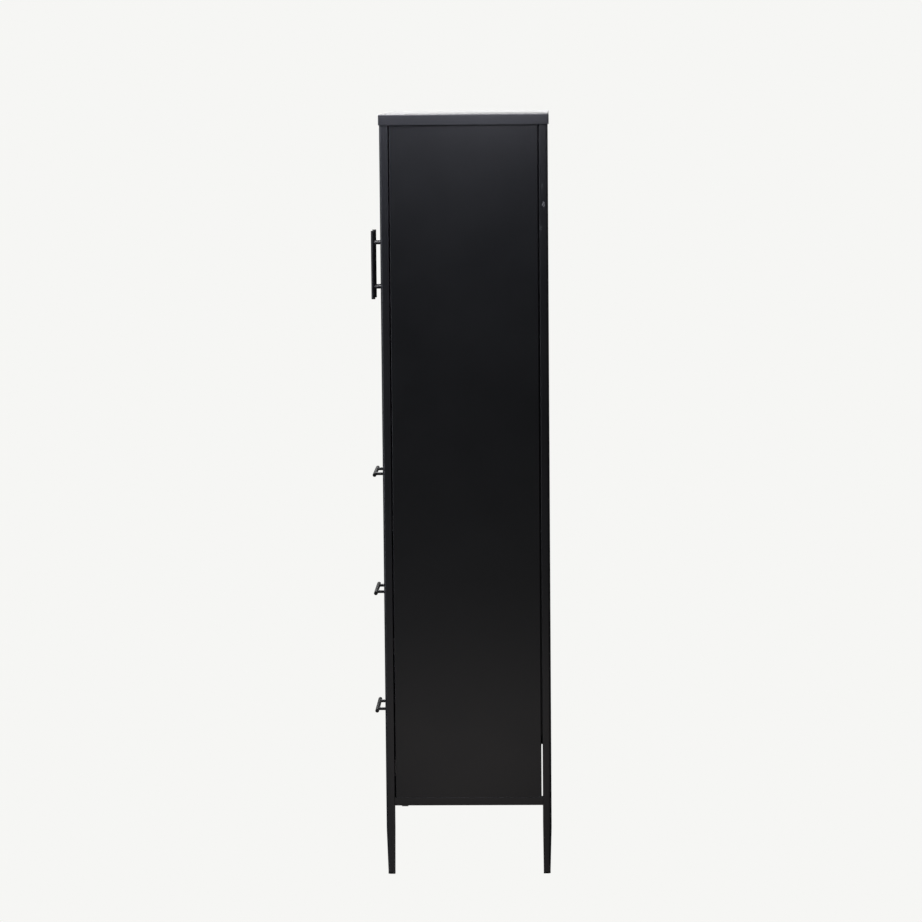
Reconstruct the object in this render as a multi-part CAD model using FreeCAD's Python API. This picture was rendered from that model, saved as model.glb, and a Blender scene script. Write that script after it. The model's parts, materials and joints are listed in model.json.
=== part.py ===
import FreeCAD, Part
import os

# Tall sheet-metal cabinet: two doors above three drawers, on four tapered legs.
# Millimetres. +Z up, the front faces -Y, the origin is under the middle of the overall box.

V = FreeCAD.Vector

# Overall sizes
WIDTH = 800.0
HEIGHT = 1800.0
DEPTH = 435.0
CAP_DEPTH = 397.0
CAP_HEIGHT = 25.0
CAP_SHEET = 1.2
CAP_BEND = 3.0
CAP_OVERHANG_FRONT = 2.0
CAP_OVERHANG_REAR = 2.5
CAP_OVERHANG_SIDE = 2.5

CAP_Y1 = DEPTH / 2
CAP_Y0 = CAP_Y1 - CAP_DEPTH
CAP_Z0 = HEIGHT - CAP_HEIGHT
BODY_X = WIDTH / 2 - CAP_OVERHANG_SIDE
BODY_Y0 = CAP_Y0 + CAP_OVERHANG_FRONT
BODY_Y1 = CAP_Y1 - CAP_OVERHANG_REAR
CAP_SCREW_X = (-300.0, 0.0, 300.0)
CAP_SCREW_Z = HEIGHT - 13.0
CAP_SCREW_LENGTH = 12.0

# Corner posts and legs
POST = 20.5
POST_WALL = 1.5
POST_EDGE = 6.0
POST_CORNER = 1.6
LEG_TAPER_OUT = 3.0
LEG_TAPER_IN = 1.0
TAPER_Z = 112.0
BASE_Z = 166.0
CAP_UNDER = HEIGHT - CAP_SHEET
POST_TOP = CAP_UNDER - 2.0
POST_IN_X = BODY_X - POST
GLIDE_H = 8.0
GLIDE_CORNER = 2.0
SPIGOT_CLEARANCE = 0.1
SPIGOT_LENGTH = 18.0

# Sheet-metal sizes
SHEET = 0.8
RAIL_SHEET = 1.2
BEND = 2.0

# Side panels, set back a little from the posts and kept off them by shadow gaps
PANEL_SETBACK = 1.0
PANEL_DEPTH = 18.0
PANEL_LIP = 16.0
PANEL_GAP_FRONT = 2.2
PANEL_GAP_REAR = 2.8
RAIL_H = 19.0
PANEL_X = BODY_X - PANEL_SETBACK
PANEL_IN_X = PANEL_X - PANEL_DEPTH
PANEL_Y0 = BODY_Y0 + POST + PANEL_GAP_FRONT
PANEL_Y1 = BODY_Y1 - POST - PANEL_GAP_REAR
PANEL_Z0 = BASE_Z + RAIL_H
PANEL_Z1 = POST_TOP - 0.3
LIP_Y = (PANEL_Y0 + 8.0, PANEL_Y1 - 11.0)
SLOT_R = 2.6
SLOT_PITCH = 40.0
SLOT_COUNT = 12
SLOT_Z0 = 1195.0

# Fronts
FRONT_SETBACK = 1.0
FRONT_T = 18.0
FRONT_X = POST_IN_X - 2.5
FRONT_Y0 = BODY_Y0 + FRONT_SETBACK
FRONT_Y1 = FRONT_Y0 + FRONT_T
FRONT_HEM = 22.0
DRAWER_H = 289.0
DRAWER_PITCH = 292.0
DRAWER_Z0 = 192.5
DRAWERS = ("bottom", "middle", "top")
DOOR_Z0 = 1069.5
DOOR_Z1 = 1771.0
DOOR_GAP = 3.0
LINER_PLAY = 1.0
RELIEF_W = 16.0
RELIEF_H = 14.0

# Bar handles
HANDLE_R = 4.75
HANDLE_LENGTH = 167.0
HANDLE_SPACING = 108.0
HANDLE_POST_R = 3.75
HANDLE_Y = -DEPTH / 2 + HANDLE_R
HANDLE_END_R = 0.8
HANDLE_TAP = 12.0
DOOR_HANDLE_X = 37.0
DOOR_HANDLE_Z = 1431.5
SCREW_R = 2.0
SCREW_HOLE_R = 2.1
SCREW_HEAD_R = 3.8
SCREW_HEAD_H = 2.2

# Door hinges: a pin at the top and bottom of each outer door edge
PIVOT_INSET = 6.5
PIVOT_X = FRONT_X - PIVOT_INSET
PIVOT_Y = FRONT_Y0 + PIVOT_INSET
PIN_R = 3.0
PIN_REACH = 11.0
BRACKET_T = 2.0
BRACKET_W = 25.0
BRACKET_LEG = 17.0
BRACKET_SETBACK = 1.0
PIN_ROOT = 1.0
BUSH_R = 4.9
BUSH_PLAY = 0.05
BUSH_FLANGE_R = 6.2
BUSH_BORE_R = 3.05
BUSH_FLANGE_T = 0.6
BUSH_LENGTH = 10.0

# Drawer runners: one channel inside another
RUNNER_HALF = 20.0
RUNNER_Y0 = PANEL_Y0
RUNNER_Y1 = 189.5
RUNNER_PLAY = 0.4
RUNNER_ABOVE = 60.0
TRAVEL = 250.0
TRAY_X = 364.6
TRAY_Y1 = 180.0
TRAY_LIFT = 12.0
TRAY_H = 220.0
MOVER_Y1 = 178.0
NIB_T = 4.0
NIB_OUT = 6.0
NIB_HALF_H = 8.0
OPEN_STOP_PLAY = 0.5
RUNNER_STEP = 1.8
MOVER_Y0 = FRONT_Y1 + 1.5

# Shelves and panels inside
DIVIDER_TOP = 1068.0
SHELF_TOP = 1420.0
SHELF_EDGE = 18.0
SHELF_X = 376.5
SHELF_Y0 = -148.0
SHELF_Y1 = 188.0
DIVIDER_Y0 = -155.0
CLIP_Z = SLOT_Z0 + 5 * SLOT_PITCH
CLIP_T = 1.5
CLIP_HALF = 5.0
CLIP_PAD_X = 366.0
CLIP_PEG = 6.0
CLIP_PEG_R = SLOT_R - 0.1
BACK_Y = 208.0
BACK_FLANGE = 17.0
BACK_X = POST_IN_X - 0.1
BACK_Z0 = 187.0
BACK_Z1 = 1772.0
BACK_FLANGE_Z0 = 330.0
REAR_RAIL_Y0 = 197.5
TOP_RAIL_SETBACK = 2.0

# Small frame screws
PANEL_SCREW_Z = (360.0, 820.0, 1280.0, 1740.0)
PANEL_SCREW_INSET = 9.0
BACK_SCREW_Z = (400.0, 850.0, 1300.0, 1700.0)
BACK_SCREW_Y = 202.0
RUNNER_SCREW_INSET = 6.4
DIVIDER_SCREW_DROP = 9.0
SCREW_DOME = 0.9
SCREW_PAST = 3.0
RUNNER_SHANK = 6.0
HOLE_BEFORE = 0.5
HOLE_PAST = 0.8
THIN_HOLE = 3.0

# Side rails, with the pan-head screws that show under them
RAIL_FLANGE = 16.0
RAIL_UNDER_X = 361.5
RAIL_EDGE = 1.0
RAIL_SCREW_Y = (-133.0, 170.5)
RAIL_SCREW_X = 369.5
RAIL_SCREW_HEAD_R = 4.5
RAIL_SCREW_HEAD_H = 1.4
RAIL_SCREW_DOME = 1.0
RAIL_SCREW_LENGTH = 8.0
RAIL_SCREW_HOLE_R = 2.6
RAIL_SCREW_SHANK_R = 2.5

# Bottom panel and the catch flange of the top front rail
FLOOR_X = PANEL_IN_X - 1.7
FLOOR_HEM_X = 362.5
CATCH_FLANGE_Y1 = -138.0
CATCH_FLANGE_GAP = 1.5
CATCH_FLANGE_END = 0.3
CATCH_BRIDGE = 2.0
CATCH_X = (12.0, 52.0)
CATCH_GAP = 0.5
CATCH_DEPTH = 15.0
CATCH_H = 16.0
CATCH_EDGE = 1.5


def box(x0, x1, y0, y1, z0, z1):
    """Box between two corners, given in any order."""
    low = V(min(x0, x1), min(y0, y1), min(z0, z1))
    return Part.makeBox(abs(x1 - x0), abs(y1 - y0), abs(z1 - z0), low)


def rod(radius, start, end):
    """Round bar between two points."""
    run = V(*end) - V(*start)
    return Part.makeCylinder(radius, run.Length, V(*start), run)


def fuse(shapes):
    """One clean solid from several touching shapes."""
    return shapes[0].fuse(shapes[1:]).removeSplitter()


def mirror_x(shape):
    """The same piece for the other side."""
    return shape.mirror(V(0, 0, 0), V(1, 0, 0))


def along(edge, axis):
    """Whether a straight edge runs along one axis (0, 1 or 2)."""
    run = edge.Vertexes[0].Point - edge.Vertexes[-1].Point
    return abs(run[axis]) > 0.99 * run.Length


def round_edges(shape, radius, keep):
    """Fillet the edges that keep() accepts."""
    return shape.makeFillet(radius, [edge for edge in shape.Edges if keep(edge)])


def on_side(edge, axis, value):
    """Whether an edge lies in the plane where the axis has this value."""
    return all(abs(vertex.Point[axis] - value) < 0.001 for vertex in edge.Vertexes)


def tray_shape(low, high, axis, closed_at, sheet, bend):
    """Folded open tray: a closed face at one end of the axis and walls with bent edges."""
    outer = box(low[0], high[0], low[1], high[1], low[2], high[2])
    outer = round_edges(outer, bend, lambda e: along(e, axis) or on_side(e, axis, closed_at))
    inner_low = [value + sheet for value in low]
    inner_high = [value - sheet for value in high]
    if closed_at == low[axis]:
        inner_high[axis] = high[axis] + bend
    else:
        inner_low[axis] = low[axis] - bend
    inner = box(inner_low[0], inner_high[0], inner_low[1], inner_high[1], inner_low[2], inner_high[2])
    inner_closed = closed_at + sheet if closed_at == low[axis] else closed_at - sheet
    inner = round_edges(inner, bend - sheet, lambda e: along(e, axis) or on_side(e, axis, inner_closed))
    return outer.cut(inner)


def corner_wire(x0, x1, y0, y1, z, radii):
    """Closed rectangle at height z with its own radius at each corner, from (x0, y0) round."""
    corners = ((x0, y0), (x1, y0), (x1, y1), (x0, y1))
    inward = ((1, 1), (-1, 1), (-1, -1), (1, -1))
    starts = []
    middles = []
    ends = []
    for index, ((x, y), (dx, dy), r) in enumerate(zip(corners, inward, radii)):
        centre = V(x + dx * r, y + dy * r, z)
        side_x = V(x, y + dy * r, z)
        side_y = V(x + dx * r, y, z)
        starts.append(side_x if index % 2 == 0 else side_y)
        ends.append(side_y if index % 2 == 0 else side_x)
        middles.append(centre - V(dx, dy, 0) * (r * 0.5 ** 0.5))
    edges = []
    for index in range(4):
        edges.append(Part.Arc(starts[index], middles[index], ends[index]).toShape())
        edges.append(Part.makeLine(ends[index], starts[(index + 1) % 4]))
    return Part.Wire(edges)


def post_level(z, taper, wall, at_front):
    """Section of the right-hand post at one height; taper runs from 0 to 1 down the leg."""
    x0 = POST_IN_X + taper * LEG_TAPER_IN + wall
    x1 = BODY_X - taper * LEG_TAPER_OUT - wall
    near = BODY_Y0 if at_front else BODY_Y1
    away = 1 if at_front else -1
    outer_y = near + away * (taper * LEG_TAPER_OUT + wall)
    inner_y = near + away * (POST - taper * LEG_TAPER_IN - wall)
    edge = POST_EDGE - wall
    plain = POST_CORNER - min(wall, POST_CORNER - 0.2)
    if at_front:
        return corner_wire(x0, x1, outer_y, inner_y, z, (plain, edge, plain, plain))
    return corner_wire(x0, x1, inner_y, outer_y, z, (plain, plain, edge, plain))


def leg_taper(z):
    """How far down the tapered leg a height lies."""
    return max(0.0, (TAPER_Z - z) / (TAPER_Z - GLIDE_H))


def post_core(z0, z1, wall, at_front):
    """Solid from the post's section, lofted over the leg and the straight part."""
    wires = [post_level(z, leg_taper(z), wall, at_front) for z in (z0, TAPER_Z, z1)]
    return Part.makeLoft(wires, True, True)


def panel_screw_points():
    """Screws that hold the right side panel to its two posts: x, y of the flange face, direction."""
    points = []
    x = PANEL_X - PANEL_SCREW_INSET
    for z in PANEL_SCREW_Z:
        points.append((x, PANEL_Y0 + SHEET, z, (0, -1, 0)))
        points.append((x, PANEL_Y1 - SHEET, z, (0, 1, 0)))
    return points


def back_screw_points():
    """Screws from the back panel's flanges into the right rear post."""
    return [(BACK_X - SHEET, BACK_SCREW_Y, z, (1, 0, 0)) for z in BACK_SCREW_Z]


def runner_centre(index):
    """Height of one drawer's runners."""
    return DRAWER_Z0 + index * DRAWER_PITCH + RUNNER_ABOVE


def runner_screw_points():
    """Screws from the fixed right runners into the side panel's lips."""
    points = []
    for index in range(len(DRAWERS)):
        for y in (LIP_Y[0], PANEL_Y1 - RUNNER_SCREW_INSET):
            points.append((PANEL_IN_X - RAIL_SHEET, y, runner_centre(index), (1, 0, 0)))
    return points


def divider_screw_points():
    """Screws from the divider shelf's sides into the side panel's lips."""
    return [(PANEL_IN_X - SHEET, y, DIVIDER_TOP - DIVIDER_SCREW_DROP, (1, 0, 0)) for y in LIP_Y]


def screw(point, shank, collar=0.0):
    """Pan-head screw whose head stands behind the point and whose shank runs on from it."""
    direction = V(*point[3])
    seat = V(*point[:3])
    head = Part.makeCylinder(SCREW_HEAD_R, SCREW_HEAD_H, seat - direction * SCREW_HEAD_H, direction)
    head = round_edges(head, SCREW_DOME, lambda e: e.Closed and (e.CenterOfMass - seat).Length > SCREW_DOME)
    parts = [head, Part.makeCylinder(SCREW_R, shank, seat, direction)]
    if collar:
        parts.append(Part.makeCylinder(SCREW_HEAD_R, collar, seat + direction * SHEET, direction))
    return fuse(parts)


def screw_hole(point, length):
    """Clearance hole for a frame screw, through everything along its shank."""
    direction = V(*point[3])
    return Part.makeCylinder(SCREW_HOLE_R, length, V(*point[:3]) - direction * HOLE_BEFORE, direction)


def all_frame_points():
    """Every right-hand frame screw with its shank and collar length."""
    points = []
    for point in panel_screw_points():
        gap = PANEL_GAP_FRONT if point[3][1] < 0 else PANEL_GAP_REAR
        points.append((point, SHEET + gap + POST_WALL + SCREW_PAST, gap))
    for point in back_screw_points():
        points.append((point, SHEET + POST_WALL + SCREW_PAST, 0.0))
    for point in runner_screw_points() + divider_screw_points():
        points.append((point, RUNNER_SHANK, 0.0))
    return points


def frame_screws():
    """All the small frame screws, both sides."""
    right = [screw(point, shank, collar) for point, shank, collar in all_frame_points()]
    return Part.makeCompound(right + [mirror_x(piece) for piece in right])


def cut_frame_holes(shape):
    """Clearance holes for the right-hand frame screws."""
    return shape.cut([screw_hole(point, shank + HOLE_PAST) for point, shank, _ in all_frame_points()])


def post(at_front):
    """Hollow corner post with its tapered leg."""
    shell = post_core(GLIDE_H, POST_TOP, 0.0, at_front)
    hollow = post_core(GLIDE_H - 1.0, POST_TOP + 1.0, POST_WALL, at_front)
    return cut_frame_holes(shell.cut(hollow))


def foot_glide(at_front):
    """Plastic glide: a block as wide as the leg, with a spigot up inside it."""
    block = Part.makeLoft([post_level(z, 1.0, 0.0, at_front) for z in (0.0, GLIDE_H)], True, True)
    wall = POST_WALL + SPIGOT_CLEARANCE
    spigot = Part.makeLoft([post_level(z, 1.0, wall, at_front)
                            for z in (GLIDE_H, GLIDE_H + SPIGOT_LENGTH)], True, True)
    return fuse([block, spigot])


def foot_glides():
    """All four glides."""
    right = [foot_glide(True), foot_glide(False)]
    return Part.makeCompound(right + [mirror_x(piece) for piece in right])


def top_cap():
    """Folded cap that drops over the posts; the skirt hides the top rails."""
    low = (-WIDTH / 2, CAP_Y0, CAP_Z0)
    high = (WIDTH / 2, CAP_Y1, HEIGHT)
    cap = tray_shape(low, high, 2, HEIGHT, CAP_SHEET, CAP_BEND)
    return cap.cut([cap_screw(x, SCREW_HOLE_R - SCREW_R) for x in CAP_SCREW_X])


def cap_screw(x, grow):
    """Countersunk screw flush in the cap's rear skirt; grow makes it a hole of the same shape."""
    head = Part.makeCone(SCREW_HEAD_R + grow, SCREW_R + grow, CAP_SHEET,
                         V(x, CAP_Y1, CAP_SCREW_Z), V(0, -1, 0))
    shank = rod(SCREW_R + grow, (x, CAP_Y1 - CAP_SHEET, CAP_SCREW_Z),
                (x, CAP_Y1 - CAP_SCREW_LENGTH, CAP_SCREW_Z))
    return fuse([head, shank])


def side_panel():
    """Right side panel: a folded skin whose front and rear edges return twice to an inner lip."""
    low = (PANEL_IN_X, PANEL_Y0, PANEL_Z0)
    high = (PANEL_X, PANEL_Y1, PANEL_Z1)
    outer = box(low[0], high[0], low[1], high[1], low[2], high[2])
    outer = round_edges(outer, BEND, lambda e: along(e, 2))
    inner = box(low[0] + SHEET, high[0] - SHEET, low[1] + SHEET, high[1] - SHEET, low[2] - 1, high[2] + 1)
    inner = round_edges(inner, BEND - SHEET, lambda e: along(e, 2))
    mouth = box(low[0] - 1, low[0] + SHEET + 1, low[1] + PANEL_LIP, high[1] - PANEL_LIP,
                low[2] - 1, high[2] + 1)
    panel = cut_frame_holes(outer.cut([inner, mouth]))
    slots = [rod(SLOT_R, (PANEL_IN_X - 1, y, SLOT_Z0 + step * SLOT_PITCH),
                 (PANEL_IN_X + 3, y, SLOT_Z0 + step * SLOT_PITCH))
             for step in range(SLOT_COUNT) for y in LIP_Y]
    return panel.cut(slots)


def side_rail():
    """Right bottom rail: an outer web with a short top flange and a wide bottom flange."""
    y0 = BODY_Y0 + POST
    y1 = BODY_Y1 - POST
    web = box(BODY_X - RAIL_SHEET, BODY_X, y0, y1, BASE_Z, PANEL_Z0)
    top = box(BODY_X - RAIL_FLANGE, BODY_X, y0, y1, PANEL_Z0 - RAIL_SHEET, PANEL_Z0)
    under = box(RAIL_UNDER_X, BODY_X, y0, y1, BASE_Z, BASE_Z + RAIL_SHEET)
    rail = fuse([web, top, under])
    rail = round_edges(rail, RAIL_EDGE, lambda e: along(e, 1) and on_side(e, 0, BODY_X))
    return rail.cut([rail_screw_rod(y, RAIL_SCREW_HOLE_R) for y in RAIL_SCREW_Y])


def rail_screw_rod(y, radius):
    """Shank of a rail screw, from under the rail up through the bottom panel's hem."""
    return rod(radius, (RAIL_SCREW_X, y, BASE_Z), (RAIL_SCREW_X, y, BASE_Z + RAIL_SCREW_LENGTH))


def rail_screws():
    """Pan-head screws that show under the side rails."""
    pieces = []
    for y in RAIL_SCREW_Y:
        low = BASE_Z - RAIL_SCREW_HEAD_H
        head = rod(RAIL_SCREW_HEAD_R, (RAIL_SCREW_X, y, BASE_Z), (RAIL_SCREW_X, y, low))
        head = round_edges(head, RAIL_SCREW_DOME, lambda e: e.Closed and on_side(e, 2, low))
        pieces.append(fuse([head, rail_screw_rod(y, RAIL_SCREW_SHANK_R)]))
    return Part.makeCompound(pieces + [mirror_x(piece) for piece in pieces])


def channel(low, high, axis, open_at, sheet):
    """Straight channel along X: a box hollowed towards one side of the given axis."""
    outer = box(low[0], high[0], low[1], high[1], low[2], high[2])
    inner_low = [low[0] - 1, low[1] + sheet, low[2] + sheet]
    inner_high = [high[0] + 1, high[1] - sheet, high[2] - sheet]
    if open_at == high[axis]:
        inner_high[axis] = high[axis] + 1
    else:
        inner_low[axis] = low[axis] - 1
    inner = box(inner_low[0], inner_high[0], inner_low[1], inner_high[1], inner_low[2], inner_high[2])
    return outer.cut(inner)


def bottom_rail_front():
    """Channel between the front posts, under the lowest drawer."""
    low = (-POST_IN_X, FRONT_Y0, BASE_Z)
    high = (POST_IN_X, FRONT_Y1, DRAWER_Z0 - DOOR_GAP)
    return channel(low, high, 1, FRONT_Y1, RAIL_SHEET)


def bottom_rail_rear():
    """Channel between the rear posts."""
    low = (-POST_IN_X, REAR_RAIL_Y0, BASE_Z)
    high = (POST_IN_X, BODY_Y1 - FRONT_SETBACK, PANEL_Z0)
    return channel(low, high, 1, REAR_RAIL_Y0, RAIL_SHEET)


def top_rail_front():
    """Channel between the front posts, inside the cap; its long bottom flange carries the catches."""
    rail = channel((-POST_IN_X, FRONT_Y0, CAP_Z0), (POST_IN_X, FRONT_Y1, CAP_UNDER), 1, FRONT_Y1, RAIL_SHEET)
    x = PANEL_IN_X - CATCH_FLANGE_END
    z1 = CAP_Z0 + RAIL_SHEET
    flange = box(-x, x, FRONT_Y1 + CATCH_FLANGE_GAP, CATCH_FLANGE_Y1, CAP_Z0, z1)
    bridge = box(-POST_IN_X, POST_IN_X, FRONT_Y1 - CATCH_BRIDGE, FRONT_Y1 + CATCH_BRIDGE, CAP_Z0, z1)
    return fuse([rail, bridge, flange])


def top_rail_rear():
    """Channel between the rear posts, inside the cap, with the holes for the cap screws."""
    low = (-POST_IN_X, REAR_RAIL_Y0, CAP_Z0)
    high = (POST_IN_X, BODY_Y1 - TOP_RAIL_SETBACK, CAP_UNDER)
    rail = channel(low, high, 1, REAR_RAIL_Y0, RAIL_SHEET)
    return rail.cut([cap_screw(x, SCREW_HOLE_R - SCREW_R) for x in CAP_SCREW_X])


def bottom_panel():
    """Floor of the drawer bay: a folded sheet whose side hems sit on the side rails."""
    x = FLOOR_X
    z1 = PANEL_Z0
    z0 = BASE_Z + RAIL_SHEET
    sheet = box(-x, x, DIVIDER_Y0, SHELF_Y1, z1 - SHEET, z1)
    front = box(-x, x, DIVIDER_Y0, DIVIDER_Y0 + SHEET, z0, z1)
    rear = box(-x, x, SHELF_Y1 - SHEET, SHELF_Y1, z0, z1)
    sides = [box(side * x, side * (x - SHEET), DIVIDER_Y0, SHELF_Y1, z0, z1) for side in (-1, 1)]
    hems = [box(side * x, side * FLOOR_HEM_X, DIVIDER_Y0, SHELF_Y1, z0, z0 + SHEET) for side in (-1, 1)]
    panel = fuse([sheet, front, rear] + sides + hems)
    holes = [rail_screw_rod(y, RAIL_SCREW_HOLE_R) for y in RAIL_SCREW_Y]
    return panel.cut(holes + [mirror_x(hole) for hole in holes])


def back_panel():
    """Back sheet between the rear posts, with side flanges bent forward above the base."""
    x = BACK_X
    sheet = box(-x, x, BACK_Y - SHEET, BACK_Y, BACK_Z0, BACK_Z1)
    flanges = [box(side * x, side * (x - SHEET), BACK_Y - BACK_FLANGE, BACK_Y, BACK_FLANGE_Z0, BACK_Z1)
               for side in (-1, 1)]
    panel = fuse([sheet] + flanges)
    holes = [screw_hole(point, THIN_HOLE) for point in back_screw_points()]
    return panel.cut(holes + [mirror_x(hole) for hole in holes])


def shelf(x, y0, y1, top):
    """Folded shelf, open underneath."""
    return tray_shape((-x, y0, top - SHELF_EDGE), (x, y1, top), 2, top, SHEET, BEND)


def divider_shelf():
    """Fixed shelf between the doors and the drawers."""
    piece = shelf(PANEL_IN_X, DIVIDER_Y0, SHELF_Y1, DIVIDER_TOP)
    holes = [screw_hole(point, THIN_HOLE) for point in divider_screw_points()]
    return piece.cut(holes + [mirror_x(hole) for hole in holes])


def shelf_clips():
    """Four clips: a peg through the lip's hole and a pad under the shelf's edge."""
    pieces = []
    under = SHELF_TOP - SHELF_EDGE
    for y in LIP_Y:
        y0 = y - CLIP_HALF
        y1 = y + CLIP_HALF
        leg = box(PANEL_IN_X - CLIP_T, PANEL_IN_X, y0, y1, CLIP_Z - CLIP_PEG, under)
        pad = box(CLIP_PAD_X, PANEL_IN_X, y0, y1, under - CLIP_T, under)
        peg = rod(CLIP_PEG_R, (PANEL_IN_X - CLIP_T / 2, y, CLIP_Z), (PANEL_IN_X + CLIP_PEG, y, CLIP_Z))
        pieces.append(fuse([leg, pad, peg]))
    return Part.makeCompound(pieces + [mirror_x(piece) for piece in pieces])


def magnet_catches():
    """Two magnetic catches under the top rail, one behind the free edge of each door."""
    low = CAP_Z0 - CATCH_H
    right = box(CATCH_X[0], CATCH_X[1], FRONT_Y1 + CATCH_GAP, FRONT_Y1 + CATCH_DEPTH, low, CAP_Z0)
    right = round_edges(right, CATCH_EDGE, lambda e: on_side(e, 2, low))
    return Part.makeCompound([right, mirror_x(right)])


def hinge_brackets():
    """Right-hand hinge brackets: a tab with its pin above the door, and one below it on a leg."""
    x0 = POST_IN_X - BRACKET_W
    top_z = CAP_Z0
    y0 = FRONT_Y0 + BRACKET_SETBACK
    top_tab = box(x0, POST_IN_X, y0, FRONT_Y1, top_z - BRACKET_T, top_z)
    top_pin = rod(PIN_R, (PIVOT_X, PIVOT_Y, top_z - PIN_ROOT),
                  (PIVOT_X, PIVOT_Y, top_z - BRACKET_T - PIN_REACH))
    low_z = DOOR_Z0 - PIN_ROOT
    low_tab = box(x0, POST_IN_X, y0, DIVIDER_Y0, low_z - BRACKET_T, low_z)
    low_leg = box(x0, POST_IN_X, DIVIDER_Y0 - BRACKET_T, DIVIDER_Y0, low_z - BRACKET_LEG, low_z)
    low_pin = rod(PIN_R, (PIVOT_X, PIVOT_Y, low_z - PIN_ROOT), (PIVOT_X, PIVOT_Y, low_z + PIN_REACH))
    return Part.makeCompound([fuse([top_tab, top_pin]), fuse([low_tab, low_leg, low_pin])])


def runner_fixed(index):
    """Right fixed runner: a channel open to the drawer, with a closing stop and an opening stop."""
    z = runner_centre(index)
    x1 = PANEL_IN_X
    x0 = TRAY_X + RUNNER_STEP
    outer = box(x0, x1, RUNNER_Y0, RUNNER_Y1, z - RUNNER_HALF, z + RUNNER_HALF)
    inner = box(x0 - 1, x1 - RAIL_SHEET, RUNNER_Y0 - 1, RUNNER_Y1 + 1,
                z - RUNNER_HALF + RAIL_SHEET, z + RUNNER_HALF - RAIL_SHEET)
    web = x1 - RAIL_SHEET
    tab_front = MOVER_Y1 - RAIL_SHEET - TRAVEL
    open_stop = tab_front - OPEN_STOP_PLAY
    shut_stop = MOVER_Y1 + RUNNER_PLAY
    stops = [(open_stop - NIB_T, open_stop), (shut_stop, shut_stop + NIB_T / 2)]
    nibs = [box(web - NIB_OUT, web, y0, y1, z - NIB_HALF_H, z + NIB_HALF_H) for y0, y1 in stops]
    runner = fuse([outer.cut(inner)] + nibs)
    return cut_frame_holes(runner)


def runner_moving(index):
    """Right moving runner, fixed to the tray: a smaller channel with a closed rear end."""
    z = runner_centre(index)
    half = RUNNER_HALF - RAIL_SHEET - RUNNER_PLAY
    x0 = TRAY_X
    x1 = PANEL_IN_X - RAIL_SHEET - RUNNER_PLAY
    outer = box(x0, x1, MOVER_Y0, MOVER_Y1, z - half, z + half)
    inner = box(x0 + RAIL_SHEET, x1 + 1, MOVER_Y0 - 1, MOVER_Y1 - RAIL_SHEET,
                z - half + RAIL_SHEET, z + half - RAIL_SHEET)
    return outer.cut(inner)


def front_pan(x0, x1, z0, z1):
    """Front skin: a folded pan with soft bends and a hem round its open back."""
    outer = round_edges(box(x0, x1, FRONT_Y0, FRONT_Y1, z0, z1), BEND,
                        lambda e: along(e, 1) or on_side(e, 1, FRONT_Y0))
    inner = box(x0 + SHEET, x1 - SHEET, FRONT_Y0 + SHEET, FRONT_Y1 - SHEET, z0 + SHEET, z1 - SHEET)
    mouth = box(x0 + FRONT_HEM, x1 - FRONT_HEM, FRONT_Y1 - SHEET - 1, FRONT_Y1 + 1,
                z0 + FRONT_HEM, z1 - FRONT_HEM)
    return outer.cut([inner, mouth])


def handle_points(centre, upright):
    """Where a handle's two posts meet the front."""
    step = HANDLE_SPACING / 2
    if upright:
        return [(centre[0], FRONT_Y0, centre[1] + side * step) for side in (-1, 1)]
    return [(centre[0] + side * step, FRONT_Y0, centre[1]) for side in (-1, 1)]


def handle_hole(point, radius, depth):
    """Screw hole through the front skin and into a handle post."""
    return rod(radius, (point[0], FRONT_Y0 + 2 * SHEET, point[2]), (point[0], FRONT_Y0 - depth, point[2]))


def handle(centre, upright):
    """Round bar handle on two posts, tapped for its screws."""
    half = HANDLE_LENGTH / 2
    x, z = centre
    if upright:
        bar = rod(HANDLE_R, (x, HANDLE_Y, z - half), (x, HANDLE_Y, z + half))
    else:
        bar = rod(HANDLE_R, (x - half, HANDLE_Y, z), (x + half, HANDLE_Y, z))
    bar = round_edges(bar, HANDLE_END_R, lambda e: e.Closed)
    points = handle_points(centre, upright)
    posts = [rod(HANDLE_POST_R, point, (point[0], HANDLE_Y, point[2])) for point in points]
    piece = fuse([bar] + posts)
    return piece.cut([handle_hole(point, SCREW_HOLE_R, HANDLE_TAP) for point in points])


def handle_screws(centre, upright):
    """Two screws from inside the front into the handle posts."""
    pieces = []
    for point in handle_points(centre, upright):
        seat = (point[0], FRONT_Y0 + SHEET, point[2], (0, -1, 0))
        pieces.append(screw(seat, HANDLE_TAP - 1.0))
    return Part.makeCompound(pieces)


def door_skin():
    """Right door skin with holes for the hinge bushings and the handle screws."""
    skin = front_pan(DOOR_GAP / 2, FRONT_X, DOOR_Z0, DOOR_Z1)
    bushes = [rod(BUSH_R + BUSH_PLAY, (PIVOT_X, PIVOT_Y, z - BEND), (PIVOT_X, PIVOT_Y, z + BEND))
              for z in (DOOR_Z0, DOOR_Z1)]
    points = handle_points((DOOR_HANDLE_X, DOOR_HANDLE_Z), True)
    return skin.cut(bushes + [handle_hole(point, SCREW_HOLE_R, 1.0) for point in points])


def door_liner():
    """Inner sheet that closes the door skin behind its hem."""
    inset = SHEET + LINER_PLAY
    x0 = DOOR_GAP / 2 + inset
    x1 = FRONT_X - inset
    z0 = DOOR_Z0 + inset
    z1 = DOOR_Z1 - inset
    sheet = box(x0, x1, FRONT_Y1 - 2 * SHEET, FRONT_Y1 - SHEET, z0, z1)
    relief = [box(PIVOT_X - RELIEF_W / 2, PIVOT_X + RELIEF_W / 2, FRONT_Y1 - 3 * SHEET, FRONT_Y1,
                  z, z + side * RELIEF_H) for z, side in ((z0, 1), (z1, -1))]
    return sheet.cut(relief)


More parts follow.
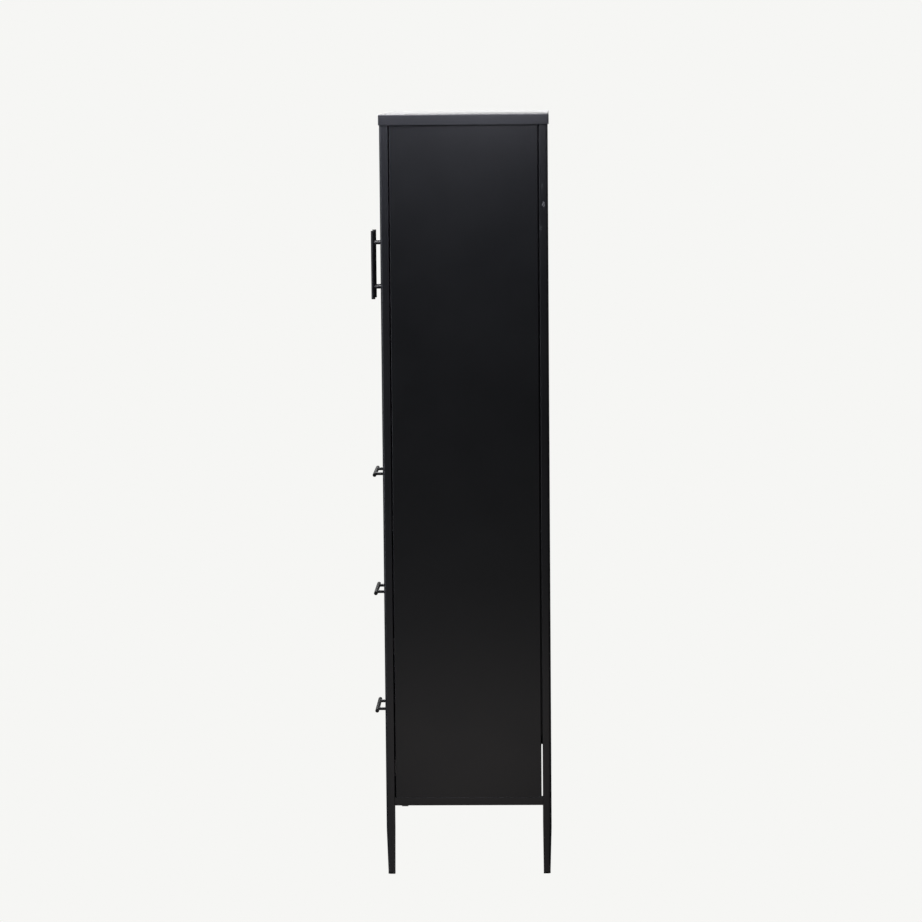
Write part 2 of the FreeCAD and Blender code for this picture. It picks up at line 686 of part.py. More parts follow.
def hinge_bushings():
    """Flanged plastic bushings in the right door's top and bottom edges."""
    pieces = []
    for z, up in ((DOOR_Z0, 1), (DOOR_Z1, -1)):
        axis = V(0, 0, up)
        foot = V(PIVOT_X, PIVOT_Y, z) - axis * BUSH_FLANGE_T
        flange = Part.makeCylinder(BUSH_FLANGE_R, BUSH_FLANGE_T, foot, axis)
        body = Part.makeCylinder(BUSH_R, BUSH_LENGTH, foot, axis)
        bore = Part.makeCylinder(BUSH_BORE_R, BUSH_LENGTH + 2.0, foot - axis, axis)
        pieces.append(fuse([flange, body]).cut(bore))
    return Part.makeCompound(pieces)


def drawer_span(index):
    """Bottom and top of one drawer front."""
    z0 = DRAWER_Z0 + index * DRAWER_PITCH
    return z0, z0 + DRAWER_H


def drawer_front(index):
    """Drawer front skin with holes for the handle screws."""
    z0, z1 = drawer_span(index)
    skin = front_pan(-FRONT_X, FRONT_X, z0, z1)
    points = handle_points((0.0, (z0 + z1) / 2), False)
    return skin.cut([handle_hole(point, SCREW_HOLE_R, 1.0) for point in points])


def drawer_tray(index):
    """Folded open tray behind the front."""
    z0 = drawer_span(index)[0] + TRAY_LIFT
    low = (-TRAY_X, FRONT_Y1, z0)
    high = (TRAY_X, TRAY_Y1, z0 + TRAY_H)
    return tray_shape(low, high, 2, z0, SHEET, BEND)


def build_frame():
    """Everything that stands still."""
    nodes = {
        "foot_glides": foot_glides(),
        "top_cap": top_cap(),
        "cap_screws": Part.makeCompound([cap_screw(x, 0.0) for x in CAP_SCREW_X]),
        "bottom_rail_front": bottom_rail_front(),
        "bottom_rail_rear": bottom_rail_rear(),
        "top_rail_front": top_rail_front(),
        "top_rail_rear": top_rail_rear(),
        "bottom_panel": bottom_panel(),
        "back_panel": back_panel(),
        "divider_shelf": divider_shelf(),
        "adjustable_shelf": shelf(SHELF_X, SHELF_Y0, SHELF_Y1, SHELF_TOP),
        "shelf_clips": shelf_clips(),
        "magnet_catches": magnet_catches(),
        "frame_screws": frame_screws(),
        "rail_screws": rail_screws(),
    }
    pairs = {
        "post_front": post(True),
        "post_rear": post(False),
        "side_panel": side_panel(),
        "bottom_rail": side_rail(),
        "hinge_brackets": hinge_brackets(),
    }
    for index, name in enumerate(DRAWERS):
        pairs["runner_fixed_" + name] = runner_fixed(index)
    add_pairs(nodes, pairs)
    return nodes


def add_pairs(nodes, pairs):
    """Add a right-hand piece and its mirrored left-hand twin under both names."""
    for name, shape in pairs.items():
        nodes[name + "_right"] = shape
        nodes[name + "_left"] = mirror_x(shape)


def build_doors():
    """Both doors, closed."""
    nodes = {}
    centre = (DOOR_HANDLE_X, DOOR_HANDLE_Z)
    add_pairs(nodes, {
        "door_skin": door_skin(),
        "door_liner": door_liner(),
        "door_handle": handle(centre, True),
        "door_handle_screws": handle_screws(centre, True),
        "hinge_bushings": hinge_bushings(),
    })
    return nodes


def build_drawers():
    """Three drawers, closed."""
    nodes = {}
    for index, name in enumerate(DRAWERS):
        centre = (0.0, sum(drawer_span(index)) / 2)
        nodes["drawer_front_" + name] = drawer_front(index)
        nodes["drawer_tray_" + name] = drawer_tray(index)
        nodes["drawer_handle_" + name] = handle(centre, False)
        nodes["drawer_handle_screws_" + name] = handle_screws(centre, False)
        add_pairs(nodes, {"runner_moving_" + name: runner_moving(index)})
    return nodes


def main():
    """Build every node and export it."""
    os.makedirs("parts", exist_ok=True)
    nodes = {}
    for group in (build_frame(), build_doors(), build_drawers()):
        nodes.update(group)
    for name, shape in nodes.items():
        shape.exportStep("parts/" + name + ".step")


main()
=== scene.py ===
import json
import math

import bmesh
import bpy
from mathutils import Matrix, Vector


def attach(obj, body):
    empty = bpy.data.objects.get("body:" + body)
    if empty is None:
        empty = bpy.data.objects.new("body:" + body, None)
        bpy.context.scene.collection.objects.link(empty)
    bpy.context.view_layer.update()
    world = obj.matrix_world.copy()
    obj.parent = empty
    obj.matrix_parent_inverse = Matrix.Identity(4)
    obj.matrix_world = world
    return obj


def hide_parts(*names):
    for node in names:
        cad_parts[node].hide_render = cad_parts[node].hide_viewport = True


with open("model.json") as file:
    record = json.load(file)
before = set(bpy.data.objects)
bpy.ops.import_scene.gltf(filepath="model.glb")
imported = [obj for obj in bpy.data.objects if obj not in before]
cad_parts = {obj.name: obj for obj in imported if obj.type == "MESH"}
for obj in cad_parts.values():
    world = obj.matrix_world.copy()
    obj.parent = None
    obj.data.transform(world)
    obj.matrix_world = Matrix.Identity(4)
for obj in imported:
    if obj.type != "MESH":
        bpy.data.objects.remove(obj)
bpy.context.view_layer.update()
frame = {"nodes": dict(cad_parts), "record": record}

MM = 0.001
WELD_GAP = 0.005 * MM
FOLD_ANGLE = math.radians(32)

# Camera: where it stands and how it is turned, beside the cabinet's right-hand side
CAMERA_PLACE = (8.4747, 0.2160, 1.8765)
CAMERA_TURN = math.radians(91.4820)
CAMERA_DOWN = math.radians(6.2698)
CAMERA_TILT = math.radians(-0.4952)
CAMERA_LENS = 135.123
CAMERA_SENSOR = 36.0
CAMERA_REACH = 200.0

# Studio: the tone behind the cabinet, and the dim room that only its gloss can see
BACKDROP = "#F6F6F4"
ROOM = "#FFFFFF"
ROOM_LEVEL = 0.03
FLOOR_REACH = 60.0

# Sizes of the patterns in the finishes
HAZE = 150 * MM
SHEET_WAVE = 420 * MM
PRIMER_FLECK = 1.5 * MM
ZINC_CLOUD = 18 * MM
MOULD_SCUFF = 6 * MM

# Chipped patches near the top of the right rear post: centre in metres, half width in millimetres,
# and how strongly the primer shows
CHIPS = (((0.3975, 0.2045, 1.5895), 5.0, 0.5),
         ((0.3975, 0.2015, 1.6315), 4.5, 0.12),
         ((0.3975, 0.1980, 1.5335), 4.0, 0.2))
CHIP_TALLNESS = 2.2
CHIP_CORE = 0.6
PRIMER = "#C4C6C8"

# Cross recess of a screw, as shares of its head's radius
CROSS_REACH = 0.52
CROSS_HALF_WIDTH = 0.12
CROSS_FLOOR_REACH = 0.40
CROSS_FLOOR_HALF_WIDTH = 0.09
CROSS_DEPTH = 0.28

# Steel pole strips of a magnetic catch
POLE_LEVELS = (0.32, 0.68)
POLE_SHORTER = 8 * MM
POLE_THICK = 1.2 * MM
POLE_TALL = 1.6 * MM
POLE_MIDDLE_IN = 0.35 * MM


def srgb(value):
    """Linear RGBA from an sRGB hex colour."""
    channels = [int(value[i:i + 2], 16) / 255 for i in (1, 3, 5)]
    return tuple(c / 12.92 if c <= 0.04045 else ((c + 0.055) / 1.055) ** 2.4 for c in channels) + (1.0,)


def add(tree, kind, links=(), **settings):
    """Add one node; settings name its properties or its inputs, links pair an input with an output."""
    node = tree.nodes.new(kind)
    for name, value in settings.items():
        if hasattr(node, name):
            setattr(node, name, value)
        else:
            node.inputs[name.replace("_", " ")].default_value = value
    for name, output in links:
        tree.links.new(output, node.inputs[name])
    return node


def linked_object(name, data):
    """New object in the scene."""
    thing = bpy.data.objects.new(name, data)
    bpy.context.scene.collection.objects.link(thing)
    return thing


# ---------------------------------------------------------------- materials

def new_material(name):
    """Empty material tree with its output node and object coordinates."""
    material = bpy.data.materials.new(name)
    material.use_nodes = True
    tree = material.node_tree
    tree.nodes.clear()
    output = add(tree, "ShaderNodeOutputMaterial")
    place = add(tree, "ShaderNodeTexCoord").outputs["Object"]
    return material, tree, output, place


def add_surface(tree, output, colour, rough, normal, **constants):
    """Principled surface with linked colour, roughness and normal, and constants on its own sockets."""
    shader = add(tree, "ShaderNodeBsdfPrincipled",
                 [("Base Color", colour), ("Roughness", rough), ("Normal", normal)], **constants)
    tree.links.new(shader.outputs["BSDF"], output.inputs["Surface"])


def coated_steel(name, colour, pale, rough, grit_mm, grit_depth_mm, lid_rough=None, chips=()):
    """Coated steel: a satin black skin with fine orange peel and a faint haze of handling and dust.

    lid_rough gives upward faces a smoother gloss; chips are small places where pale primer shows through.
    """
    material, tree, output, place = new_material(name)
    haze = add(tree, "ShaderNodeTexNoise", [("Vector", place)],
               Scale=1 / HAZE, Detail=4.0, Roughness=0.6)
    peel = add(tree, "ShaderNodeTexNoise", [("Vector", place)],
               Scale=1 / (grit_mm * MM), Detail=2.0, Roughness=0.5)
    sheet = add(tree, "ShaderNodeTexNoise", [("Vector", place)],
                Scale=1 / SHEET_WAVE, Detail=1.0, Roughness=0.4)
    tone = add(tree, "ShaderNodeMix", [("Factor", haze.outputs["Fac"])],
               data_type="RGBA", A=srgb(colour), B=srgb(pale))
    coat = tone.outputs["Result"]
    for chip in chips:
        coat = paint_chip(tree, place, coat, *chip)
    gloss = add(tree, "ShaderNodeMapRange", [("Value", haze.outputs["Fac"])],
                From_Min=0.3, From_Max=0.7, To_Min=rough - 0.02, To_Max=rough + 0.03)
    shine = gloss.outputs["Result"]
    if lid_rough is not None:
        shine = smoother_on_top(tree, shine, lid_rough)
    wave = add(tree, "ShaderNodeBump", [("Height", sheet.outputs["Fac"])],
               Strength=0.25, Distance=0.5 * MM)
    skin = add(tree, "ShaderNodeBump", [("Height", peel.outputs["Fac"]), ("Normal", wave.outputs["Normal"])],
               Strength=0.5, Distance=grit_depth_mm * MM)
    add_surface(tree, output, coat, shine, skin.outputs["Normal"])
    return material


def paint_chip(tree, place, coat, centre, half_mm, strength):
    """Lay one tall patch of fine flecks, where pale primer shows, over a coat colour."""
    squash = Vector((1.0, 1.0, 1 / CHIP_TALLNESS))
    flecks = add(tree, "ShaderNodeTexNoise", [("Vector", place)],
                 Scale=1 / PRIMER_FLECK, Detail=2.0, Roughness=0.6)
    squashed = add(tree, "ShaderNodeVectorMath", [(0, place)], operation="MULTIPLY")
    squashed.inputs[1].default_value = squash
    run = add(tree, "ShaderNodeVectorMath", [(0, squashed.outputs["Vector"])], operation="DISTANCE")
    run.inputs[1].default_value = Vector(centre) * squash
    patch = add(tree, "ShaderNodeMapRange", [("Value", run.outputs["Value"])],
                From_Min=half_mm * MM, From_Max=CHIP_CORE * half_mm * MM)
    both = add(tree, "ShaderNodeMath", [(0, flecks.outputs["Fac"]), (1, patch.outputs["Result"])],
               operation="MULTIPLY")
    bare = add(tree, "ShaderNodeMapRange", [("Value", both.outputs["Value"])],
               From_Min=0.53, From_Max=0.58, To_Max=strength)
    chipped = add(tree, "ShaderNodeMix", [("Factor", bare.outputs["Result"]), ("A", coat)],
                  data_type="RGBA", B=srgb(PRIMER))
    return chipped.outputs["Result"]


def smoother_on_top(tree, shine, lid_rough):
    """Roughness that drops to lid_rough on faces that look straight up."""
    normal = add(tree, "ShaderNodeTexCoord").outputs["Normal"]
    facing = add(tree, "ShaderNodeSeparateXYZ", [("Vector", normal)])
    upward = add(tree, "ShaderNodeMapRange", [("Value", facing.outputs["Z"])], From_Min=0.6, From_Max=0.95)
    mixed = add(tree, "ShaderNodeMix", [("Factor", upward.outputs["Result"]), ("A", shine)],
                data_type="FLOAT", B=lid_rough)
    return mixed.outputs["Result"]


def plated_steel(name, colour, pale, rough, grain_mm):
    """Zinc-plated sheet or wire: pale metal with a soft rolled grain and clouded passivation."""
    material, tree, output, place = new_material(name)
    stretch = add(tree, "ShaderNodeMapping", [("Vector", place)], Scale=(1.0, 0.06, 1.0))
    grain = add(tree, "ShaderNodeTexNoise", [("Vector", stretch.outputs["Vector"])],
                Scale=1 / (grain_mm * MM), Detail=3.0, Roughness=0.6)
    cloud = add(tree, "ShaderNodeTexNoise", [("Vector", place)],
                Scale=1 / ZINC_CLOUD, Detail=3.0, Roughness=0.55)
    tone = add(tree, "ShaderNodeMix", [("Factor", cloud.outputs["Fac"])],
               data_type="RGBA", A=srgb(colour), B=srgb(pale))
    gloss = add(tree, "ShaderNodeMapRange", [("Value", grain.outputs["Fac"])],
                To_Min=rough - 0.08, To_Max=rough + 0.08)
    bump = add(tree, "ShaderNodeBump", [("Height", grain.outputs["Fac"])], Strength=0.3, Distance=0.02 * MM)
    add_surface(tree, output, tone.outputs["Result"], gloss.outputs["Result"], bump.outputs["Normal"],
                Metallic=1.0)
    return material


def moulded_plastic(name, colour, pale, rough, grain_mm):
    """Moulded plastic: even colour with the fine spark-eroded grain of its mould and light scuffs."""
    material, tree, output, place = new_material(name)
    grain = add(tree, "ShaderNodeTexVoronoi", [("Vector", place)], Scale=1 / (grain_mm * MM))
    scuff = add(tree, "ShaderNodeTexNoise", [("Vector", place)],
                Scale=1 / MOULD_SCUFF, Detail=4.0, Roughness=0.6)
    tone = add(tree, "ShaderNodeMix", [("Factor", scuff.outputs["Fac"])],
               data_type="RGBA", A=srgb(colour), B=srgb(pale))
    gloss = add(tree, "ShaderNodeMapRange", [("Value", scuff.outputs["Fac"])],
                To_Min=rough - 0.06, To_Max=rough + 0.06)
    bump = add(tree, "ShaderNodeBump", [("Height", grain.outputs["Distance"])],
               Strength=0.3, Distance=0.03 * MM)
    add_surface(tree, output, tone.outputs["Result"], gloss.outputs["Result"], bump.outputs["Normal"])
    return material


# Each coat: name, two tones, roughness, and the width and depth of its grit in millimetres.
# Satin black powder coat: dark, with a soft broad sheen that brightens towards the lamps
POWDER = coated_steel("powder-coated steel", "#141517", "#191A1C", 0.36, 1.1, 0.018)
# The same coat a shade paler, as painted light: it brightens the cap and the front posts, which catch more of
# the lamps than the rear posts; its flat top is glossier
POWDER_PAINTED_LIGHTER = coated_steel("powder-coated steel, painted lighter", "#1E1F21", "#242528", 0.36, 1.1, 0.018,
                           lid_rough=0.14)
# The same coat, knocked through to pale primer in a few small patches
CHIPPED_POWDER = coated_steel("powder-coated steel with chips", "#141517", "#191A1C", 0.36, 1.1, 0.018,
                              chips=CHIPS)
# A finer, thinner coat: sharper highlights along the round bars
HANDLE_COAT = coated_steel("powder-coated handle steel", "#101113", "#17181A", 0.34, 0.8, 0.010)
# Black oxide on screws: darker and tighter than paint, with almost no peel
BLACK_OXIDE = coated_steel("black-oxide screw steel", "#0D0D0F", "#191A1C", 0.30, 0.4, 0.004)
# Zinc plate on runners, clips, handle screws and pole strips: the only pale metal, its grain drawn out
ZINC = plated_steel("zinc-plated steel", "#A9ABAA", "#C3C4C1", 0.36, 0.5)
# Plastics: a dull black foot, a milky white bushing, a charcoal catch
POLYETHYLENE = moulded_plastic("moulded polyethylene", "#141416", "#1B1B1D", 0.45, 0.5)
ACETAL = moulded_plastic("moulded acetal", "#D8D7D0", "#E3E2DC", 0.42, 0.4)
ABS = moulded_plastic("moulded ABS", "#1A1B1D", "#222326", 0.45, 0.5)

# The cap and the front posts take the lighter coat, which is painted light; the rear right post takes the
# chipped coat
FINISH_OF_NODE = {
    "top_cap": POWDER_PAINTED_LIGHTER,
    "post_front_left": POWDER_PAINTED_LIGHTER,
    "post_front_right": POWDER_PAINTED_LIGHTER,
    "post_rear_right": CHIPPED_POWDER,
}

FINISH_OF_SLOT = {
    "powder_coat": POWDER,
    "handle_coat": HANDLE_COAT,
    "zinc_steel": ZINC,
    "black_screw": BLACK_OXIDE,
    "glide_plastic": POLYETHYLENE,
    "white_plastic": ACETAL,
    "catch_plastic": ABS,
}


# ---------------------------------------------------------------- finish the CAD nodes

def soft_edge_tree():
    """Geometry Nodes that weld a loose-triangle mesh and smooth it except at its sharp folds."""
    tree = bpy.data.node_groups.new("weld_and_smooth", "GeometryNodeTree")
    tree.interface.new_socket("Mesh", in_out="INPUT", socket_type="NodeSocketGeometry")
    weld_gap = tree.interface.new_socket("Weld gap", in_out="INPUT", socket_type="NodeSocketFloat")
    fold_angle = tree.interface.new_socket("Fold angle", in_out="INPUT", socket_type="NodeSocketFloat")
    weld_gap.default_value = WELD_GAP
    fold_angle.default_value = FOLD_ANGLE
    tree.interface.new_socket("Mesh", in_out="OUTPUT", socket_type="NodeSocketGeometry")
    source = add(tree, "NodeGroupInput").outputs
    weld = add(tree, "GeometryNodeMergeByDistance",
               [("Geometry", source["Mesh"]), ("Distance", source["Weld gap"])])
    smooth = add(tree, "GeometryNodeSetShadeSmooth", [("Geometry", weld.outputs["Geometry"])], domain="FACE")
    angle = add(tree, "GeometryNodeInputMeshEdgeAngle")
    flat = add(tree, "FunctionNodeCompare",
               [("A", angle.outputs["Unsigned Angle"]), ("B", source["Fold angle"])], operation="LESS_THAN")
    edges = add(tree, "GeometryNodeSetShadeSmooth",
                [("Geometry", smooth.outputs["Geometry"]), ("Shade Smooth", flat.outputs["Result"])],
                domain="EDGE")
    add(tree, "NodeGroupOutput", [("Mesh", edges.outputs["Geometry"])])
    return tree


def finish_nodes():
    """Give every CAD node its material and smooth its curved faces."""
    smoother = soft_edge_tree()
    slots = {part["node"]: part["material_slot"] for part in frame["record"]["subparts"]}
    for name, piece in frame["nodes"].items():
        material = FINISH_OF_NODE.get(name, FINISH_OF_SLOT[slots[name]])
        piece.data.materials.clear()
        piece.data.materials.append(material)
        modifier = piece.modifiers.new("weld_and_smooth", "NODES")
        modifier.node_group = smoother


# ---------------------------------------------------------------- where the small pieces sit

def loose_pieces(name):
    """Vertex positions of each separate piece inside one CAD node, from a welded copy of its mesh.

    The pieces come in the mesh's own order, so that each screw has the same spin in every run.
    """
    mesh = bmesh.new()
    mesh.from_mesh(frame["nodes"][name].data)
    bmesh.ops.remove_doubles(mesh, verts=mesh.verts, dist=WELD_GAP)
    waiting = set(mesh.verts)
    pieces = []
    for start in mesh.verts:
        if start not in waiting:
            continue
        waiting.remove(start)
        front = [start]
        found = []
        while front:
            vert = front.pop()
            found.append(vert.co.copy())
            near = {edge.other_vert(vert) for edge in vert.link_edges} & waiting
            waiting -= near
            front.extend(near)
        pieces.append(found)
    mesh.free()
    return pieces


def corners(points):
    """Low and high corner of the box round some points."""
    return [Vector([pick(p[i] for p in points) for i in range(3)]) for pick in (min, max)]


def screw_spot(points):
    """Middle of a screw's head face and the way that face looks, from the screw's vertices."""
    low, high = corners(points)
    size = high - low
    middle = (low + high) / 2

    def odd_one_out(i):
        return min(abs(size[i] - size[j]) for j in range(3) if j != i)

    def spread(end):
        there = [p for p in points if abs(p[axis] - end) < 0.05 * MM]
        return max(sum((p[j] - middle[j]) ** 2 for j in range(3) if j != axis) for p in there)

    axis = max(range(3), key=odd_one_out)
    head_end = max((low[axis], high[axis]), key=spread)
    out = Vector((0, 0, 0))
    out[axis] = math.copysign(1.0, head_end - middle[axis])
    middle[axis] = head_end
    return middle, out


# ---------------------------------------------------------------- screws with cross recesses

def ring(mesh, radius, height, count=24):
    """Ring of vertices round the Z axis."""
    turns = [2 * math.pi * i / count for i in range(count)]
    return [mesh.verts.new((radius * math.cos(t), radius * math.sin(t), height)) for t in turns]


def cross_outline(mesh, reach, half_width, height):
    """Twelve vertices round a cross."""
    corner = [(reach, -half_width), (reach, half_width), (half_width, half_width)]
    spots = []
    for quarter in range(4):
        turn = Matrix.Rotation(quarter * math.pi / 2, 2)
        spots += [turn @ Vector(c) for c in corner]
    return [mesh.verts.new((p.x, p.y, height)) for p in spots]


def bridge(mesh, first, second):
    """Band of faces between two loops of the same length."""
    for i in range(len(first)):
        j = (i + 1) % len(first)
        mesh.faces.new((first[i], first[j], second[j], second[i]))


def loop_edges(mesh, loop):
    """Edges round a loop of vertices, made where they are missing."""
    pairs = [(loop[i], loop[(i + 1) % len(loop)]) for i in range(len(loop))]
    return [mesh.edges.get(pair) or mesh.edges.new(pair) for pair in pairs]


def screw_template(name, radius, height, dome, shank_radius, shank_length):
    """Screw, sizes in millimetres: head face at z = 0 with a sunk cross recess, and its shank below."""
    mesh = bmesh.new()
    profile = [(shank_radius, -height - shank_length), (shank_radius, -height), (radius, -height)]
    profile += [(radius - dome * (1 - math.cos(a)), dome * (math.sin(a) - 1))
                for a in (0.0, math.pi / 8, math.pi / 4, 3 * math.pi / 8, math.pi / 2)]
    loops = [ring(mesh, r * MM, z * MM) for r, z in profile]
    for lower, upper in zip(loops, loops[1:]):
        bridge(mesh, lower, upper)
    mesh.faces.new(list(reversed(loops[0])))
    unit = radius * MM
    mouth = cross_outline(mesh, CROSS_REACH * unit, CROSS_HALF_WIDTH * unit, 0)
    floor = cross_outline(mesh, CROSS_FLOOR_REACH * unit, CROSS_FLOOR_HALF_WIDTH * unit, -CROSS_DEPTH * unit)
    rim = loop_edges(mesh, loops[-1]) + loop_edges(mesh, mouth)
    bmesh.ops.triangle_fill(mesh, edges=rim, use_beauty=True)
    bridge(mesh, mouth, floor)
    bmesh.ops.triangle_fill(mesh, edges=loop_edges(mesh, floor), use_beauty=True)
    bmesh.ops.recalc_face_normals(mesh, faces=mesh.faces)
    data = bpy.data.meshes.new(name)
    mesh.to_mesh(data)
    mesh.free()
    return bpy.data.objects.new(name, data)


def screw_tree():
    """Geometry Nodes that set one screw on every spot, turned to face out and spun at random."""
    tree = bpy.data.node_groups.new("set_screws", "GeometryNodeTree")
    for name, kind in (("Spots", "Geometry"), ("Screw", "Object"),
                       ("Spin seed", "Int"), ("Finish", "Material")):
        tree.interface.new_socket(name, in_out="INPUT", socket_type="NodeSocket" + kind)
    tree.interface.new_socket("Screws", in_out="OUTPUT", socket_type="NodeSocketGeometry")
    source = add(tree, "NodeGroupInput").outputs
    screw = add(tree, "GeometryNodeObjectInfo", [("Object", source["Screw"])])
    out = add(tree, "GeometryNodeInputNamedAttribute", data_type="FLOAT_VECTOR", Name="out")
    # Random Value keeps a socket of each type; 3 is the highest float, and output 1 is the float drawn
    spin = add(tree, "FunctionNodeRandomValue", [("Seed", source["Spin seed"])], data_type="FLOAT")
    spin.inputs[3].default_value = math.pi / 2
    facing = add(tree, "FunctionNodeAlignRotationToVector", [("Vector", out.outputs["Attribute"])], axis="Z")
    about = add(tree, "FunctionNodeAxisAngleToRotation", [("Angle", spin.outputs[1])], Axis=(0, 0, 1))
    turned = add(tree, "FunctionNodeRotateRotation",
                 [("Rotation", facing.outputs["Rotation"]), ("Rotate By", about.outputs["Rotation"])],
                 rotation_space="LOCAL")
    placed = add(tree, "GeometryNodeInstanceOnPoints",
                 [("Points", source["Spots"]), ("Instance", screw.outputs["Geometry"]),
                  ("Rotation", turned.outputs["Rotation"])])
    solid = add(tree, "GeometryNodeRealizeInstances", [("Geometry", placed.outputs["Instances"])])
    dressed = add(tree, "GeometryNodeSetMaterial",
                  [("Geometry", solid.outputs["Geometry"]), ("Material", source["Finish"])])
    add(tree, "NodeGroupOutput", [("Screws", dressed.outputs["Geometry"])])
    return tree


def set_inputs(modifier, **values):
    """Set a modifier's inputs, each found by its socket's name, through the socket's identifier."""
    for item in modifier.node_group.interface.items_tree:
        key = item.name.replace(" ", "_")
        if item.in_out == "INPUT" and key in values:
            modifier[item.identifier] = values[key]


def plain_copy(thing, name):
    """Plain mesh object from what a thing's modifiers make of it."""
    bpy.context.view_layer.update()
    graph = bpy.context.evaluated_depsgraph_get()
    data = bpy.data.meshes.new_from_object(thing.evaluated_get(graph), depsgraph=graph)
    data.name = name
    return linked_object(name, data)


def declare(piece, body):
    """Tell the frame which body a piece rides on."""
    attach(piece, body)


def recessed_screws(node, tree, template, seed):
    """Replace one node of plain screws by screws with cross recesses in the same places."""
    spots = [screw_spot(points) for points in loose_pieces(node)]
    cloud = bpy.data.meshes.new(node + "_spots")
    cloud.from_pydata([spot for spot, out in spots], [], [])
    outward = cloud.attributes.new("out", "FLOAT_VECTOR", "POINT")
    for index, (spot, out) in enumerate(spots):
        outward.data[index].vector = out
    holder = linked_object(node + "_holder", cloud)
    modifier = holder.modifiers.new("set_screws", "NODES")
    modifier.node_group = tree
    set_inputs(modifier, Screw=template, Spin_seed=seed, Finish=BLACK_OXIDE)
    piece = plain_copy(holder, node + "_recessed")
    bpy.data.objects.remove(holder)
    declare(piece, "carcass")
    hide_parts(node)


def screws():
    """All the black screws of the carcass."""
    tree = screw_tree()
    pan = screw_template("pan_head_screw", radius=3.8, height=2.2, dome=0.9,
                         shank_radius=2.0, shank_length=5.0)
    low_pan = screw_template("low_pan_head_screw", radius=4.5, height=1.4, dome=1.0,
                             shank_radius=2.5, shank_length=6.0)
    flush = screw_template("flush_screw", radius=3.75, height=1.2, dome=0.1,
                           shank_radius=2.0, shank_length=10.0)
    recessed_screws("frame_screws", tree, pan, seed=3)
    recessed_screws("rail_screws", tree, low_pan, seed=5)
    recessed_screws("cap_screws", tree, flush, seed=8)


def catch_poles():
    """Two steel pole strips in the front face of each magnetic catch."""
    mesh = bmesh.new()
    for points in loose_pieces("magnet_catches"):
        low, high = corners(points)
        for level in POLE_LEVELS:
            size = Vector((high.x - low.x - POLE_SHORTER, POLE_THICK, POLE_TALL))
            middle = Vector(((low.x + high.x) / 2, low.y + POLE_MIDDLE_IN, low.z + level * (high.z - low.z)))
            place = Matrix.Translation(middle) @ Matrix.Diagonal(size.to_4d())
            bmesh.ops.create_cube(mesh, size=1.0, matrix=place)
    data = bpy.data.meshes.new("catch_poles")
    mesh.to_mesh(data)
    mesh.free()
    data.materials.append(ZINC)
    piece = linked_object("catch_poles", data)
    declare(piece, "carcass")


# ---------------------------------------------------------------- studio

def softbox(name, place, target, width, height, power, colour):
    """Rectangular soft light that points at a target and is not itself seen."""
    light = bpy.data.lights.new(name, "AREA")
    light.shape = "RECTANGLE"
    light.size = width
    light.size_y = height
    light.energy = power
    light.color = srgb(colour)[:3]
    thing = linked_object(name, light)
    thing.location = place
    thing.rotation_euler = (Vector(target) - Vector(place)).to_track_quat("-Z", "Y").to_euler()
    thing.visible_camera = False


def shown_or_room(tree, kind, socket, output):
    """Even pale tone where the camera looks straight at it, and the room's dim tone for everything else."""
    path = add(tree, "ShaderNodeLightPath")
    room = add(tree, kind, Color=srgb(ROOM), Strength=ROOM_LEVEL)
    shown = add(tree, kind, Color=srgb(BACKDROP), Strength=1.0)
    mix = add(tree, "ShaderNodeMixShader",
              [("Fac", path.outputs["Is Camera Ray"]), (1, room.outputs[socket]), (2, shown.outputs[socket])])
    tree.links.new(mix.outputs["Shader"], output.inputs["Surface"])


def pale_floor():
    """Pale studio floor of the backdrop's own tone, so that no line shows where they meet."""
    mesh = bpy.data.meshes.new("studio_floor")
    reach = FLOOR_REACH
    mesh.from_pydata([(-reach, -reach, 0), (reach, -reach, 0), (reach, reach, 0), (-reach, reach, 0)],
                     [], [(0, 1, 2, 3)])
    floor = linked_object("studio_floor", mesh)
    material, tree, output, _ = new_material("pale studio floor")
    shown_or_room(tree, "ShaderNodeEmission", "Emission", output)
    mesh.materials.append(material)


def backdrop():
    """World: a pale even backdrop to look at, and a dim room for the coat to reflect."""
    world = bpy.data.worlds.new("studio")
    world.use_nodes = True
    bpy.context.scene.world = world
    tree = world.node_tree
    tree.nodes.clear()
    shown_or_room(tree, "ShaderNodeBackground", "Background", add(tree, "ShaderNodeOutputWorld"))


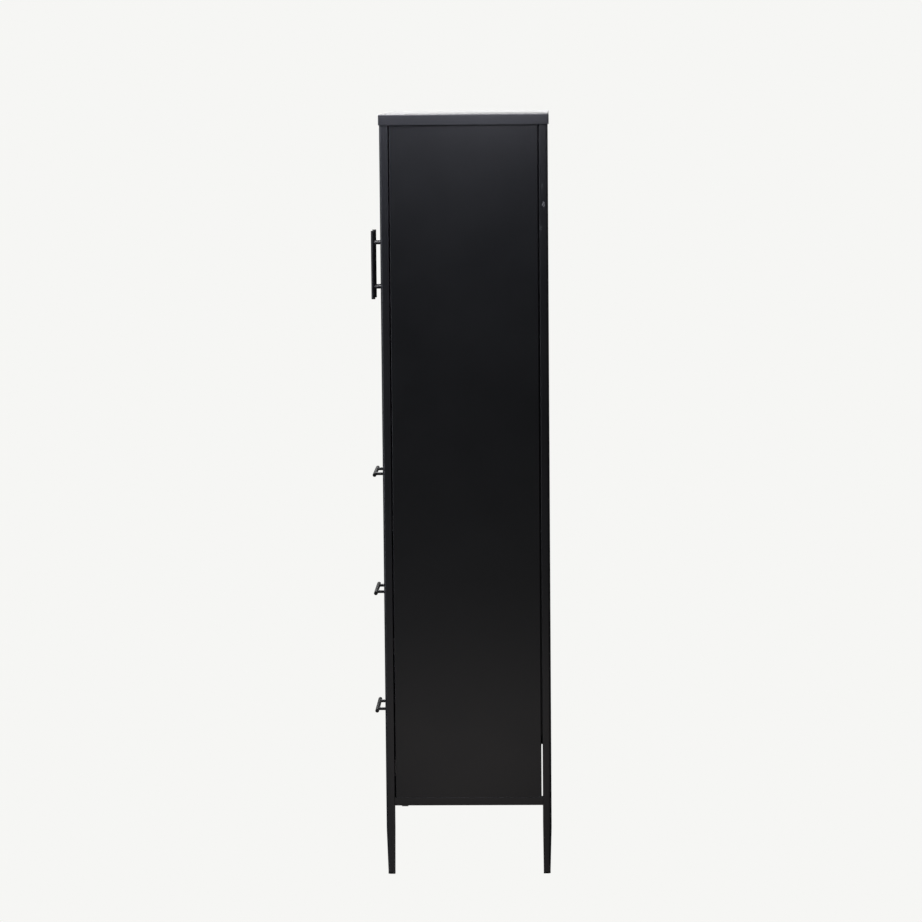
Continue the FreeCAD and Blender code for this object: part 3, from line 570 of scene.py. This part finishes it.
def camera():
    """Camera beside the cabinet, a little above its top, looking slightly down."""
    data = bpy.data.cameras.new("camera")
    data.lens = CAMERA_LENS
    data.sensor_width = CAMERA_SENSOR
    data.clip_end = CAMERA_REACH
    thing = linked_object("camera", data)
    turn = Matrix.Rotation(CAMERA_TURN, 4, "Z") @ Matrix.Rotation(math.pi / 2 - CAMERA_DOWN, 4, "X")
    thing.matrix_world = Matrix.Translation(CAMERA_PLACE) @ turn @ Matrix.Rotation(CAMERA_TILT, 4, "Z")
    bpy.context.scene.camera = thing


# Lamps over and behind the camera, low ones that stand for light off the floor, a low bright strip
# behind the cabinet, and high ones for the front, the back and the far side.
# Each: name, place, target, width, height, power in watts, colour
SOFTBOXES = (
    ("over_the_top", (0.62, -0.11, 2.02), (0.4, -0.06, 1.72), 1.0, 0.22, 7.5, "#F6F4FF"),
    ("high_behind_camera", (10.5, 0.0, 4.6), (0.4, 0.0, 1.5), 4.0, 1.4, 50.0, "#E9EEFF"),
    ("front_side", (2.6, -3.2, 0.98), (0.4, 0.0, 0.98), 0.8, 1.6, 27.0, "#EEF2FF"),
    ("floor_bounce_far", (2.6, 0.0, 0.03), (1.6, 0.0, 1.0), 2.4, 1.2, 1.7, "#FFFFFF"),
    ("floor_bounce_middle", (1.3, 0.0, 0.006), (0.9, 0.0, 0.6), 2.0, 0.8, 2.7, "#FFF6F3"),
    ("floor_bounce_near", (0.72, 0.0, 0.004), (0.72, 0.0, 1.0), 2.0, 0.5, 0.8, "#FFF6F3"),
    ("backdrop_horizon", (-5.0, 0.0, 1.98), (0.0, 0.0, 1.98), 9.0, 0.3, 15.5, "#FFFFFF"),
    ("front_overhead", (-0.5, -2.6, 4.4), (0.0, 0.0, 0.8), 2.4, 1.6, 280.0, "#FFFFFF"),
    ("rear_overhead", (-0.8, 2.9, 4.4), (0.0, 0.0, 0.8), 2.4, 1.6, 220.0, "#FFFFFF"),
    ("far_side_overhead", (-3.0, 0.0, 4.4), (-0.4, 0.0, 0.8), 2.4, 1.6, 220.0, "#FFFFFF"),
)

finish_nodes()
screws()
catch_poles()

backdrop()
pale_floor()
for setting in SOFTBOXES:
    softbox(*setting)
camera()
bpy.context.scene.view_settings.view_transform = "Standard"
